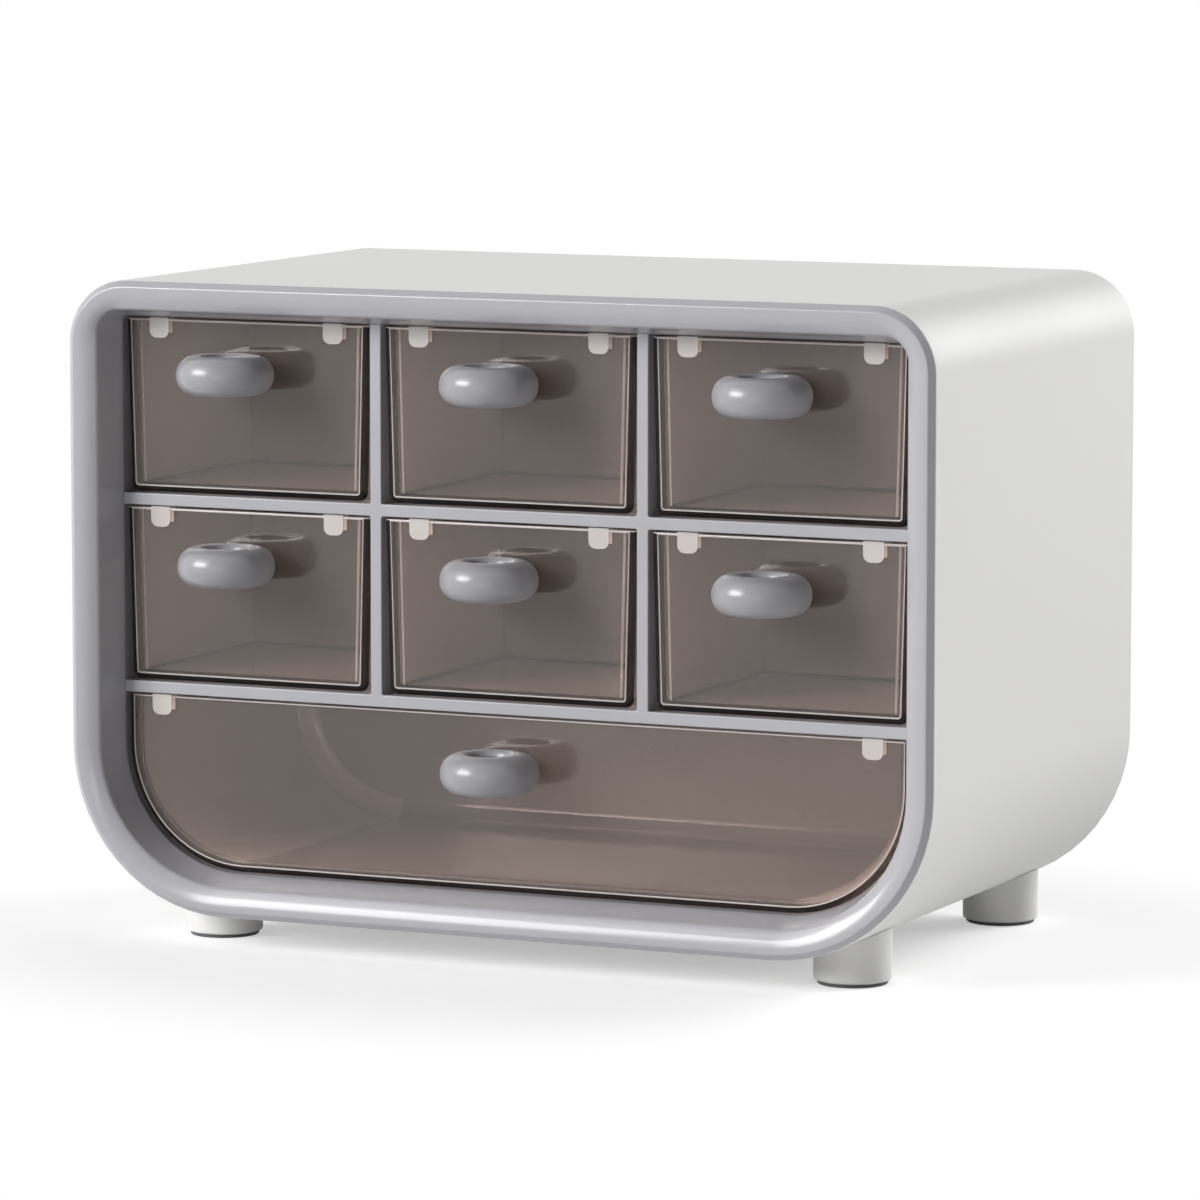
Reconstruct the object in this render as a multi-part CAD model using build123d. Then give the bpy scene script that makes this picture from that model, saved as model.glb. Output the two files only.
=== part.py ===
from build123d import *
import os

# Desktop drawer organizer, in millimetres.
# X runs to the right, Y runs to the back and Z runs up.
# The origin lies on the table, under the middle of the whole object's box.

# Body
body_width = 300.0
body_height = 204.4
body_depth = 177.0
top_corner_radius = 20.5
bottom_corner_radius = 54.0
foot_height = 10.6

# Outer shell
shell_wall = 2.6
fit_clearance = 0.1

# Front frame
flange_thickness = 2.0
rim_width = 12.3
rim_crest_inset = 2.1
rim_face_inset = 6.2
rim_face_drop = 0.7
rim_edge_inset = 9.5
rim_edge_drop = 2.7
rim_edge_radius = 8.0
shoulder_radius = 1.9
frame_depth = 14.7
frame_skin = 2.2

# Inner sleeve and drawer grid
sleeve_wall = 2.0
sleeve_top_radius = 1.6
grid_thickness = 3.9
columns = 3
rows = 3
stop_width = 20.0
stop_height = 2.0
stop_length = 3.0

# Rear panel and its screws
rear_thickness = 2.6
rear_screw_margin = 12.0
boss_radius = 3.2
boss_length = 14.0
boss_clearance = 0.2

# Screws, shared by the rear panel, the feet and the knobs
screw_radius = 1.4
thread_clearance = 0.05
through_clearance = 0.2
screw_head_radius = 2.6
screw_head_height = 1.5
head_clearance = 0.3
rear_screw_length = 10.0
foot_screw_length = 14.0
knob_screw_length = 9.0

# Feet
foot_radius = 12.4
foot_side_inset = 39.0
foot_front_inset = 32.3
foot_rear_inset = 17.3
foot_edge_radius = 0.9
foot_counterbore_depth = 3.0
foot_boss_radius = 4.4
pad_radius = 11.2
pad_thickness = 1.2

# Drawers
panel_recess = 0.8
panel_thickness = 3.0
bin_length = 122.0
bin_wall = 2.4
bin_draft = 1.4
bin_corner_radius = 3.0
bin_edge_radius = 2.0
inner_corner_radius = 2.6
side_gap = 0.7
floor_gap = 0.3
top_gap = 0.8
stop_gap = 0.3
cross_wall_depth = 78.0
cross_wall = 2.0
cove_radius = 6.0

# Edge clips on the drawer fronts
clip_width = 7.0
clip_drop = 6.1
clip_rear_drop = 4.6
clip_thickness = 0.5
clip_corner_radius = 2.4
clip_inset = 12.6

# Ring knobs
knob_radius = 15.6
knob_ring_width = 9.0
knob_ring_height = 12.6
knob_outer_round = 6.0
knob_inner_round = 2.0
knob_seat_depth = 1.1
knob_drop = 16.8

# One overrun for every cut
overrun = 5.0

# Places along Y, from the crest of the front frame to the back
knob_reach = 2 * knob_radius - knob_seat_depth - frame_depth - panel_recess
front = (knob_reach - body_depth) / 2
back = front + body_depth
shell_front = front + flange_thickness
grid_front = front + frame_depth
rear_seat = back - rear_thickness
panel_front = grid_front + panel_recess
panel_back = panel_front + panel_thickness
bin_back = panel_front + bin_length
knob_y = panel_front + knob_seat_depth - knob_radius

# The opening inside the rim, and the cells that the grid makes in it
opening_width = body_width - 2 * rim_width
opening_height = body_height - 2 * rim_width
opening_floor = foot_height + rim_width
opening_corner = bottom_corner_radius - rim_width
cell_width = (opening_width - (columns - 1) * grid_thickness) / columns
cell_height = (opening_height - (rows - 1) * grid_thickness) / rows
column_pitch = cell_width + grid_thickness
row_pitch = cell_height + grid_thickness
bin_height = cell_height - floor_gap - top_gap
wide_width = opening_width - 2 * side_gap

# Screw holes
thread_radius = screw_radius + thread_clearance
through_radius = screw_radius + through_clearance
counterbore_radius = screw_head_radius + head_clearance


def upright(section, start, length):
    """Extrude an upright section from a place on Y towards the back."""
    return extrude(Plane.XZ.offset(-start) * section, amount=-length)


def rounded_section(width, height, floor, top_radius, bottom_radius):
    """Upright rounded outline, centred on X and standing on the given height."""
    section = Pos(0, floor) * Rectangle(width, height, align=(Align.CENTER, Align.MIN))
    section = fillet(section.vertices().group_by(Axis.Y)[-1], top_radius)
    return fillet(section.vertices().group_by(Axis.Y)[0], bottom_radius)


def body_section(inset):
    """The body's outline, moved inwards by an inset."""
    return rounded_section(
        body_width - 2 * inset,
        body_height - 2 * inset,
        foot_height + inset,
        top_corner_radius - inset,
        bottom_corner_radius - inset,
    )


def opening_section(grow, top_radius):
    """The outline of the opening inside the rim, grown by a margin."""
    return rounded_section(
        opening_width + 2 * grow,
        opening_height + 2 * grow,
        opening_floor - grow,
        top_radius,
        opening_corner + grow,
    )


def edge_section(outset):
    """The outline of the rim's inner edge, moved outwards by a margin."""
    inset = rim_edge_inset - outset
    return rounded_section(
        body_width - 2 * inset,
        body_height - 2 * inset,
        foot_height + inset,
        rim_edge_radius + outset,
        bottom_corner_radius - inset,
    )


def block(width, length, height, x, y, z):
    """A box centred on X, that starts at y and stands on z."""
    return Pos(x, y, z) * Box(width, length, height, align=(Align.CENTER, Align.MIN, Align.MIN))


def rod_back(radius, length, x, y, z):
    """A round rod that starts at y and runs towards the back."""
    rod = Cylinder(radius, length, align=(Align.CENTER, Align.CENTER, Align.MIN))
    return Pos(x, y, z) * Rot(-90, 0, 0) * rod


def rod_up(radius, length, x, y, z):
    """A round rod that stands on z."""
    return Pos(x, y, z) * Cylinder(radius, length, align=(Align.CENTER, Align.CENTER, Align.MIN))


def rear_screw_places():
    """Centres of the rear panel's screws, in the gap between shell and sleeve."""
    x = body_width / 2 - shell_wall - boss_clearance - boss_radius
    low = foot_height + bottom_corner_radius + rear_screw_margin
    high = foot_height + body_height - top_corner_radius - rear_screw_margin
    return [(side * x, z) for side in (-1, 1) for z in (low, high)]


def foot_places():
    """Name and centre of each foot."""
    x = body_width / 2 - foot_side_inset
    ends = {"front": front + foot_front_inset, "rear": back - foot_rear_inset}
    sides = {"left": -x, "right": x}
    return {f"{end}_{side}": (sides[side], ends[end]) for end in ends for side in sides}


def drawer_places():
    """Name, centre on X and cell floor of each small drawer."""
    row_names = {2: "top", 1: "middle"}
    column_names = {-1: "left", 0: "centre", 1: "right"}
    return {
        f"{row_names[row]}_{column_names[column]}": (column * column_pitch, opening_floor + row * row_pitch)
        for row in row_names
        for column in column_names
    }


def outer_shell():
    """White sleeve with rear screw bosses and foot bosses."""
    shell = upright(body_section(0), shell_front, back - shell_front)
    for x, y in foot_places().values():
        shell -= rod_up(thread_radius, foot_height + rim_width, x, y, 0)
    shell -= upright(body_section(shell_wall), shell_front - overrun, body_depth + 2 * overrun)
    reach = boss_radius + boss_clearance + shell_wall / 2
    for x, z in rear_screw_places():
        web_x = x + (reach / 2 if x > 0 else -reach / 2)
        boss = rod_back(boss_radius, boss_length, x, rear_seat - boss_length, z)
        boss += block(reach, boss_length, 2 * boss_radius, web_x, rear_seat - boss_length, z - boss_radius)
        boss -= rod_back(thread_radius, boss_length + overrun, x, rear_seat - boss_length, z)
        shell += boss
    boss_top = foot_height + rim_width - sleeve_wall - boss_clearance
    skin = upright(body_section(shell_wall / 2), front, body_depth)
    for x, y in foot_places().values():
        boss = rod_up(foot_boss_radius, boss_top, x, y, 0) & skin
        shell += boss - rod_up(thread_radius, boss_top + overrun, x, y, 0)
    return shell


def front_frame():
    """Grey rim: a flange flush with the shell, a falling face, a deep inner wall and a plug."""
    frame = upright(body_section(0), front, flange_thickness)
    frame = fillet(frame.faces().sort_by(Axis.Y)[0].edges(), shoulder_radius)
    seat = shell_wall + fit_clearance
    frame += upright(body_section(seat), shell_front, grid_front - shell_front)
    steps = [
        Plane.XZ.offset(-front) * body_section(rim_crest_inset),
        Plane.XZ.offset(-front - rim_face_drop) * body_section(rim_face_inset),
        Plane.XZ.offset(-front - rim_edge_drop) * edge_section(0),
        Plane.XZ.offset(-grid_front) * opening_section(0, sleeve_top_radius),
    ]
    for near, far in zip(steps, steps[1:]):
        frame -= loft([near, far], ruled=True)
    core_start = Plane.XZ.offset(-front - rim_edge_drop) * edge_section(frame_skin)
    core_end = Plane.XZ.offset(-grid_front) * opening_section(frame_skin, sleeve_top_radius + frame_skin)
    hollow_start = front + rim_edge_drop + frame_skin
    hollow = upright(body_section(seat + frame_skin), hollow_start, grid_front - hollow_start)
    return frame - (hollow - loft([core_start, core_end], ruled=True))


def inner_sleeve():
    """Grey liner that the grid and the drawers stand in, clamped by frame and rear panel."""
    length = rear_seat - grid_front
    outer = upright(opening_section(sleeve_wall, sleeve_top_radius + sleeve_wall), grid_front, length)
    inside = opening_section(0, sleeve_top_radius)
    sleeve = outer - upright(inside, grid_front - overrun, length + 2 * overrun)
    stop = block(stop_width, stop_length, stop_height, 0, bin_back + stop_gap, opening_floor)
    return sleeve + stop


def drawer_grid():
    """Two shelves and two dividers in one moulding, with a stop behind each small drawer."""
    length = rear_seat - grid_front
    grid = Part()
    for row in range(1, rows):
        shelf_floor = opening_floor + row * row_pitch - grid_thickness
        grid += block(opening_width, length, grid_thickness, 0, grid_front, shelf_floor)
    divider_height = opening_height - row_pitch
    for side in (-1, 1):
        x = side * column_pitch / 2
        grid += block(grid_thickness, length, divider_height, x, grid_front, opening_floor + row_pitch)
    for x, cell_floor in drawer_places().values():
        grid += block(stop_width, stop_length, stop_height, x, bin_back + stop_gap, cell_floor)
    return grid


def rear_panel():
    """Grey back cover inside the shell, with a counterbored hole for each screw."""
    panel = upright(body_section(shell_wall + fit_clearance), rear_seat, rear_thickness)
    for x, z in rear_screw_places():
        panel -= rod_back(through_radius, rear_thickness, x, rear_seat, z)
        panel -= rod_back(counterbore_radius, overrun, x, back - screw_head_height, z)
    return panel


def rear_panel_screws():
    """Four screws with their heads flush in the rear panel."""
    screws = []
    for x, z in rear_screw_places():
        head = rod_back(screw_head_radius, screw_head_height, x, back - screw_head_height, z)
        shank = rod_back(screw_radius, rear_screw_length, x, back - screw_head_height - rear_screw_length, z)
        screws.append(head + shank)
    return Compound(screws)


def foot(x, y):
    """Round foot whose top follows the curve under the shell."""
    post = rod_up(foot_radius, foot_height + rim_width - pad_thickness, x, y, pad_thickness)
    post = fillet(post.edges().sort_by(Axis.Z)[0], foot_edge_radius)
    post -= upright(body_section(-fit_clearance), front, body_depth)
    post -= rod_up(through_radius, foot_height + rim_width, x, y, 0)
    return post - rod_up(counterbore_radius, pad_thickness + foot_counterbore_depth, x, y, 0)


def foot_pad(x, y):
    """Thin soft disc under a foot."""
    return rod_up(pad_radius, pad_thickness, x, y, 0)


def foot_screws():
    """One screw up through each foot into its boss in the shell."""
    seat = pad_thickness + foot_counterbore_depth
    screws = []
    for x, y in foot_places().values():
        head = rod_up(screw_head_radius, screw_head_height, x, y, seat - screw_head_height)
        screws.append(head + rod_up(screw_radius, foot_screw_length, x, y, seat))
    return Compound(screws)


def bin_half_width(height):
    """Half the outer width of a small drawer at a height above its underside."""
    return cell_width / 2 - side_gap - bin_draft * (1 - height / bin_height)


def bin_section(low, high, inset):
    """Upright drafted section of a small drawer between two heights."""
    return make_face(
        Polyline(
            (-bin_half_width(low) + inset, low),
            (bin_half_width(low) - inset, low),
            (bin_half_width(high) - inset, high),
            (-bin_half_width(high) + inset, high),
            close=True,
        )
    )


def front_edges(solid):
    """The edges of a solid's front face, without the one along the top."""
    return solid.faces().sort_by(Axis.Y)[0].edges().sort_by(Axis.Z)[:-1]


def back_edges(solid):
    """The edges of a solid's back face, without the one along the top."""
    return solid.faces().sort_by(Axis.Y)[-1].edges().sort_by(Axis.Z)[:-1]


def knob_height(cell_floor):
    """Height of a knob's middle above the table."""
    return cell_floor + cell_height - knob_drop


def small_drawer(x, cell_floor):
    """Smoky bin with drafted sides, rounded front edges and a cross wall."""
    section = bin_section(0, bin_height, 0)
    section = fillet(section.vertices().group_by(Axis.Y)[0], bin_corner_radius)
    drawer = upright(section, panel_front, bin_length)
    drawer = fillet(front_edges(drawer), bin_edge_radius)
    hollow = bin_section(bin_wall, bin_height + overrun, bin_wall)
    pocket = upright(hollow, panel_back, cross_wall_depth)
    upright_edges = pocket.faces().sort_by(Axis.Y)[0].edges().sort_by(Axis.Z)[1:-1]
    drawer -= fillet(upright_edges, inner_corner_radius)
    rear_start = panel_back + cross_wall_depth + cross_wall
    drawer -= upright(hollow, rear_start, bin_back - bin_wall - rear_start)
    drawer = Pos(x, 0, cell_floor + floor_gap) * drawer
    return drawer - rod_back(through_radius, panel_thickness, x, panel_front, knob_height(cell_floor))


def wide_drawer():
    """Full-width smoky bin whose lower corners follow the rim, coved at the back."""
    corner = opening_corner - side_gap
    floor = opening_floor + floor_gap
    section = Pos(0, floor) * Rectangle(wide_width, bin_height, align=(Align.CENTER, Align.MIN))
    section = fillet(section.vertices().group_by(Axis.Y)[0], corner)
    drawer = upright(section, panel_front, bin_length)
    drawer = fillet(front_edges(drawer), bin_edge_radius)
    hollow = Pos(0, floor + bin_wall) * Rectangle(
        wide_width - 2 * bin_wall, bin_height + overrun, align=(Align.CENTER, Align.MIN)
    )
    hollow = fillet(hollow.vertices().group_by(Axis.Y)[0], corner - bin_wall)
    pocket = upright(hollow, panel_back, bin_back - bin_wall - panel_back)
    pocket = fillet(back_edges(pocket), cove_radius)
    drawer -= fillet(front_edges(pocket), inner_corner_radius)
    return drawer - rod_back(through_radius, panel_thickness, 0, panel_front, knob_height(opening_floor))


def knob(x, cell_floor):
    """Upright-bored ring with a flat seat against the drawer front."""
    z = knob_height(cell_floor)
    middle = knob_radius - knob_ring_width / 2
    section = Pos(middle, 0) * Rectangle(knob_ring_width, knob_ring_height)
    section = fillet(section.vertices().group_by(Axis.X)[-1], knob_outer_round)
    section = fillet(section.vertices().group_by(Axis.X)[0], knob_inner_round)
    ring = Pos(x, knob_y, z) * revolve(Plane.XZ * section, Axis.Z)
    ring -= block(2 * knob_radius, knob_radius, 2 * knob_ring_height, x, panel_front, z - knob_ring_height)
    pilot_length = knob_screw_length - panel_thickness + thread_clearance
    return ring - rod_back(thread_radius, pilot_length, x, panel_front - pilot_length, z)


def knob_screw(x, cell_floor):
    """Screw from inside the bin, through the front, into the knob's seat."""
    z = knob_height(cell_floor)
    head = rod_back(screw_head_radius, screw_head_height, x, panel_back, z)
    return head + rod_back(screw_radius, knob_screw_length, x, panel_back - knob_screw_length, z)


def clip(x, bin_top):
    """Clear saddle over the top edge of a drawer front."""
    depth = panel_thickness + 2 * clip_thickness
    start = panel_front - clip_thickness
    saddle = block(clip_width, depth, clip_thickness, x, start, bin_top)
    leg = block(clip_width, clip_thickness, clip_drop, x, start, bin_top - clip_drop)
    leg = fillet(leg.edges().filter_by(Axis.Y).group_by(Axis.Z)[0], clip_corner_radius)
    rear_leg = block(clip_width, clip_thickness, clip_rear_drop, x, panel_back, bin_top - clip_rear_drop)
    return saddle + leg + rear_leg


def clip_pair(x, cell_floor, front_width):
    """The two clips of one drawer, near its upper corners."""
    bin_top = cell_floor + floor_gap + bin_height
    offset = front_width / 2 - clip_inset
    return Compound([clip(x - offset, bin_top), clip(x + offset, bin_top)])


def all_parts():
    """Every node of the organizer by name."""
    parts = {
        "outer_shell": outer_shell(),
        "front_frame": front_frame(),
        "inner_sleeve": inner_sleeve(),
        "drawer_grid": drawer_grid(),
        "rear_panel": rear_panel(),
        "rear_panel_screws": rear_panel_screws(),
        "foot_screws": foot_screws(),
    }
    for name, (x, y) in foot_places().items():
        parts[f"foot_{name}"] = foot(x, y)
        parts[f"foot_pad_{name}"] = foot_pad(x, y)
    for name, (x, cell_floor) in drawer_places().items():
        parts[f"drawer_{name}"] = small_drawer(x, cell_floor)
        parts[f"knob_{name}"] = knob(x, cell_floor)
        parts[f"knob_screw_{name}"] = knob_screw(x, cell_floor)
        parts[f"clips_{name}"] = clip_pair(x, cell_floor, 2 * bin_half_width(bin_height))
    parts["drawer_bottom"] = wide_drawer()
    parts["knob_bottom"] = knob(0, opening_floor)
    parts["knob_screw_bottom"] = knob_screw(0, opening_floor)
    parts["clips_bottom"] = clip_pair(0, opening_floor, wide_width)
    return parts


os.makedirs("parts", exist_ok=True)
for node, shape in all_parts().items():
    export_step(shape, f"parts/{node}.step")
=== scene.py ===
"""Desktop drawer organizer: its moulded pieces, their finishes and a plain studio, in metres."""

import logging
import math
from collections.abc import Callable, Sequence
from dataclasses import dataclass
from enum import Enum, IntEnum
from typing import TypeVar

import bmesh
import bpy
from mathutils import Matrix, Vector


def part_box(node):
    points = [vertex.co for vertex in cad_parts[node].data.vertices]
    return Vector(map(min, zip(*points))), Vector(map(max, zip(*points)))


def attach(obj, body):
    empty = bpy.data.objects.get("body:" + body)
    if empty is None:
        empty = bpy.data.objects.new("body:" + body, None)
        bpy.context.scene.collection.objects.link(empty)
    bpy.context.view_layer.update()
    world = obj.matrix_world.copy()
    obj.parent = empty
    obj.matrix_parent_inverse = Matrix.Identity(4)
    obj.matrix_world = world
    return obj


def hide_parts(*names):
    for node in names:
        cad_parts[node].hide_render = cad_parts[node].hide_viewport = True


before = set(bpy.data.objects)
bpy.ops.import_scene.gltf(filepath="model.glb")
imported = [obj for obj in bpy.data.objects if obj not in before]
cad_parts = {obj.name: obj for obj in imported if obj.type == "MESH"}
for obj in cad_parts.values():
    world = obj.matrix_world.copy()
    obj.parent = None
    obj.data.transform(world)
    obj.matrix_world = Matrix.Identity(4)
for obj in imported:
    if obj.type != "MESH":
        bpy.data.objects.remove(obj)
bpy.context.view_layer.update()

log = logging.getLogger("drawer_organizer")

MM = 0.001
MERGE = 0.002 * MM  # vertices closer than this are joined
NEAR = 0.02 * MM  # a coordinate this close lies at its place
SHARP = 0.6  # radians between the two faces of a clear bend
SIDEWAYS = 0.9  # how far a side wall's normal points along X
ROUND_STEPS = 3  # segments across a rounding
ARC_STEPS = 14  # segments along a corner's arc
SPIN_STEPS = 72  # segments round a turned form
FLAT_FACE_WEIGHT = 100  # how firmly large flat faces keep their normals
LOWER_RADIUS = 54.0 * MM  # the body's large lower corners
UP = (0, 0, 1)
BACKWARDS = (0, 1, 0)
PURE_WHITE = (1, 1, 1, 1)
MIX_FACTOR, MIX_FIRST, MIX_SECOND, MIX_RESULT = 0, 6, 7, 2  # a Mix node's colour sockets
CABINET = "cabinet"
WIDE_DRAWER = "bottom"
Colour = tuple[float, float, float]
Faces = list[bmesh.types.BMFace]
Edges = list[bmesh.types.BMEdge]
EdgeTest = Callable[[Vector, Vector], bool]
Element = TypeVar("Element", bmesh.types.BMVert, bmesh.types.BMEdge)


class Slot(Enum):
    """The record's material slots."""

    WHITE = "white_shell"
    GREY = "grey_rim"
    KNOB = "knob_grey"
    SMOKY = "smoky_clear"
    MILKY = "milky_clear"
    RUBBER = "pad_rubber"
    STEEL = "screw_steel"


class SmallPlace(Enum):
    """Where each small drawer sits."""

    TOP_LEFT = "top_left"
    TOP_CENTRE = "top_centre"
    TOP_RIGHT = "top_right"
    MIDDLE_LEFT = "middle_left"
    MIDDLE_CENTRE = "middle_centre"
    MIDDLE_RIGHT = "middle_right"


class FootPlace(Enum):
    """Where each foot stands."""

    FRONT_LEFT = "front_left"
    FRONT_RIGHT = "front_right"
    REAR_LEFT = "rear_left"
    REAR_RIGHT = "rear_right"


class Zone(IntEnum):
    """The zones of a clear piece, by the index of each one's finish on the piece: a painted
    highlight on edges, painted shade on edges and on back walls and floors, and a hazy finish that
    paints side walls lighter.
    """

    BRIGHT_EDGE = 1
    DEEP_EDGE = 2
    SHADED_WALL = 3
    HAZY_WALL = 4


@dataclass(frozen=True)
class Noise:
    """One noise of a moulded surface, with the values that are spread from 0 to 1."""

    name: str
    detail: float
    low: float
    high: float


NOISES = (Noise("Cloud", 2.0, 0.2, 0.8), Noise("Grain", 3.0, 0.25, 0.75))


def surface_group() -> bpy.types.ShaderNodeTree:
    """Build the shared group for moulded surfaces.

    Returns:
        A group that puts out slow clouds and a fine grain, both from 0 to 1.
    """
    group = bpy.data.node_groups.new("moulded_surface", "ShaderNodeTree")
    sockets = group.interface
    for kind in NOISES:
        sockets.new_socket(f"{kind.name} Scale", in_out="INPUT", socket_type="NodeSocketFloat")
    for kind in NOISES:
        sockets.new_socket(kind.name, in_out="OUTPUT", socket_type="NodeSocketFloat")
    given = group.nodes.new("NodeGroupInput")
    result = group.nodes.new("NodeGroupOutput")
    place = group.nodes.new("ShaderNodeTexCoord")
    for kind in NOISES:
        noise = group.nodes.new("ShaderNodeTexNoise")
        noise.inputs["Detail"].default_value = kind.detail
        spread = group.nodes.new("ShaderNodeMapRange")
        spread.interpolation_type = "SMOOTHSTEP"
        spread.inputs["From Min"].default_value = kind.low
        spread.inputs["From Max"].default_value = kind.high
        group.links.new(place.outputs["Object"], noise.inputs["Vector"])
        group.links.new(given.outputs[f"{kind.name} Scale"], noise.inputs["Scale"])
        group.links.new(noise.outputs["Fac"], spread.inputs["Value"])
        group.links.new(spread.outputs["Result"], result.inputs[kind.name])
    return group


@dataclass(frozen=True)
class Finish:
    """A moulded or metal finish: two close tones, a gloss range and a fine surface."""

    name: str
    slot: Slot
    light: Colour
    dark: Colour
    smooth: float
    rough: float
    metallic: float = 0.0
    ior: float = 1.46
    coat: float = 0.0
    coat_roughness: float = 0.1
    transmission: float = 0.0
    shadow_tint: Colour | None = None
    cloud_scale: float = 14.0
    grain_scale: float = 2200.0
    grain_height: float = 0.01 * MM
    grain_strength: float = 0.25

    def material(self, group: bpy.types.ShaderNodeTree) -> bpy.types.Material:
        """Build the finish's material.

        Args:
            group: the shared group for moulded surfaces.

        Returns:
            The new material.
        """
        made = bpy.data.materials.new(self.name)
        made.use_nodes = True
        tree = made.node_tree
        shader = tree.nodes["Principled BSDF"]
        values = {
            "Metallic": self.metallic,
            "IOR": self.ior,
            "Coat Weight": self.coat,
            "Coat Roughness": self.coat_roughness,
            "Transmission Weight": self.transmission,
        }
        for socket, value in values.items():
            shader.inputs[socket].default_value = value
        surface = tree.nodes.new("ShaderNodeGroup")
        surface.node_tree = group
        surface.inputs["Cloud Scale"].default_value = self.cloud_scale
        surface.inputs["Grain Scale"].default_value = self.grain_scale
        tone = tree.nodes.new("ShaderNodeMix")
        tone.data_type = "RGBA"
        tone.inputs[MIX_FIRST].default_value = (*self.dark, 1)
        tone.inputs[MIX_SECOND].default_value = (*self.light, 1)
        gloss = tree.nodes.new("ShaderNodeMapRange")
        gloss.inputs["To Min"].default_value = self.smooth
        gloss.inputs["To Max"].default_value = self.rough
        bump = tree.nodes.new("ShaderNodeBump")
        bump.inputs["Strength"].default_value = self.grain_strength
        bump.inputs["Distance"].default_value = self.grain_height
        for start, end in (
            (surface.outputs["Cloud"], tone.inputs[MIX_FACTOR]),
            (surface.outputs["Cloud"], gloss.inputs["Value"]),
            (surface.outputs["Grain"], bump.inputs["Height"]),
            (tone.outputs[MIX_RESULT], shader.inputs["Base Color"]),
            (gloss.outputs["Result"], shader.inputs["Roughness"]),
            (bump.outputs["Normal"], shader.inputs["Normal"]),
        ):
            tree.links.new(start, end)
        if self.shadow_tint is not None:
            self.let_light_through(tree, shader)
        return made

    def let_light_through(
        self, tree: bpy.types.ShaderNodeTree, shader: bpy.types.ShaderNode
    ) -> None:
        """Let tinted light pass straight through a clear finish instead of a black shadow.

        Args:
            tree: the material's nodes.
            shader: the finish's own shader.
        """
        path = tree.nodes.new("ShaderNodeLightPath")
        clear = tree.nodes.new("ShaderNodeBsdfTransparent")
        clear.inputs["Color"].default_value = (*self.shadow_tint, 1)
        mix = tree.nodes.new("ShaderNodeMixShader")
        tree.links.new(path.outputs["Is Shadow Ray"], mix.inputs[0])
        tree.links.new(shader.outputs["BSDF"], mix.inputs[1])
        tree.links.new(clear.outputs["BSDF"], mix.inputs[2])
        tree.links.new(mix.outputs["Shader"], tree.nodes["Material Output"].inputs["Surface"])


FINISHES = (
    Finish(
        "satin_white", Slot.WHITE, (0.845, 0.84, 0.83), (0.837, 0.832, 0.822), 0.48, 0.54, ior=1.36,
        grain_strength=0.3,
    ),
    Finish(
        "satin_grey", Slot.GREY, (0.47, 0.47, 0.50), (0.464, 0.464, 0.494), 0.22, 0.25, coat=0.35,
        coat_roughness=0.1, grain_strength=0.1,
    ),
    Finish(
        "gloss_grey", Slot.KNOB, (0.36, 0.36, 0.38), (0.355, 0.355, 0.375), 0.28, 0.31, coat=0.4,
        coat_roughness=0.16, grain_strength=0.05,
    ),
    Finish(
        "smoky_clear", Slot.SMOKY, (0.88, 0.79, 0.745), (0.875, 0.785, 0.74), 0.0, 0.02, ior=1.45,
        transmission=0.965, shadow_tint=(0.96, 0.90, 0.87), cloud_scale=30.0, grain_scale=60.0,
        grain_height=0.02 * MM, grain_strength=0.01,
    ),
    Finish(
        "milky_clear", Slot.MILKY, (0.70, 0.675, 0.655), (0.68, 0.655, 0.635), 0.16, 0.22, ior=1.49,
        transmission=0.35, shadow_tint=(0.9, 0.88, 0.87), grain_strength=0.05,
    ),
    Finish(
        "pad_rubber", Slot.RUBBER, (0.16, 0.16, 0.165), (0.11, 0.11, 0.115), 0.7, 0.85,
        grain_scale=1500.0, grain_height=0.03 * MM, grain_strength=0.5,
    ),
    Finish(
        "screw_steel", Slot.STEEL, (0.62, 0.62, 0.63), (0.52, 0.52, 0.54), 0.25, 0.4, metallic=1.0,
        cloud_scale=300.0, grain_strength=0.3,
    ),
)

ZONE_FINISHES = {
    # a paler, less clear finish that paints a highlight along roundings and grooves
    Zone.BRIGHT_EDGE: Finish(
        "smoky_painted_highlight_edge", Slot.SMOKY, (0.80, 0.75, 0.72), (0.78, 0.73, 0.70), 0.12, 0.18, ior=1.45,
        transmission=0.25, shadow_tint=(0.9, 0.86, 0.84), grain_strength=0.05,
    ),
    # a near-black finish that paints the shade in the gap round each front and along the inner
    # floor's edge
    Zone.DEEP_EDGE: Finish(
        "smoky_painted_shade_edge", Slot.SMOKY, (0.06, 0.05, 0.048), (0.05, 0.042, 0.04), 0.1, 0.15, ior=1.2,
        transmission=0.8, shadow_tint=(0.8, 0.72, 0.68), grain_strength=0.01,
    ),
    # a darker smoky finish that paints shade on the back walls and floors inside the drawers
    Zone.SHADED_WALL: Finish(
        "smoky_painted_shade_wall", Slot.SMOKY, (0.52, 0.455, 0.43), (0.51, 0.445, 0.42), 0.1, 0.14, ior=1.45,
        transmission=0.8, shadow_tint=(0.85, 0.78, 0.75), cloud_scale=30.0, grain_scale=60.0,
        grain_height=0.02 * MM, grain_strength=0.01,
    ),
    # a hazy smoky finish: partly the plastic's own haze, partly painted light that makes the side
    # walls lighter than the back walls
    Zone.HAZY_WALL: Finish(
        "smoky_hazy_painted_light", Slot.SMOKY, (0.74, 0.655, 0.61), (0.73, 0.645, 0.60), 0.02, 0.05, ior=1.45,
        transmission=0.67, shadow_tint=(0.93, 0.88, 0.86), cloud_scale=30.0, grain_scale=60.0,
        grain_height=0.02 * MM, grain_strength=0.01,
    ),
}
# a darker grey for the inner sleeve and rear panel, which paints the shade inside the closed
# cabinet
PAINTED_SHADE_LINER = Finish(
    "liner_painted_shade", Slot.GREY, (0.32, 0.32, 0.34), (0.31, 0.31, 0.33), 0.4, 0.46, grain_strength=0.3,
)


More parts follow.
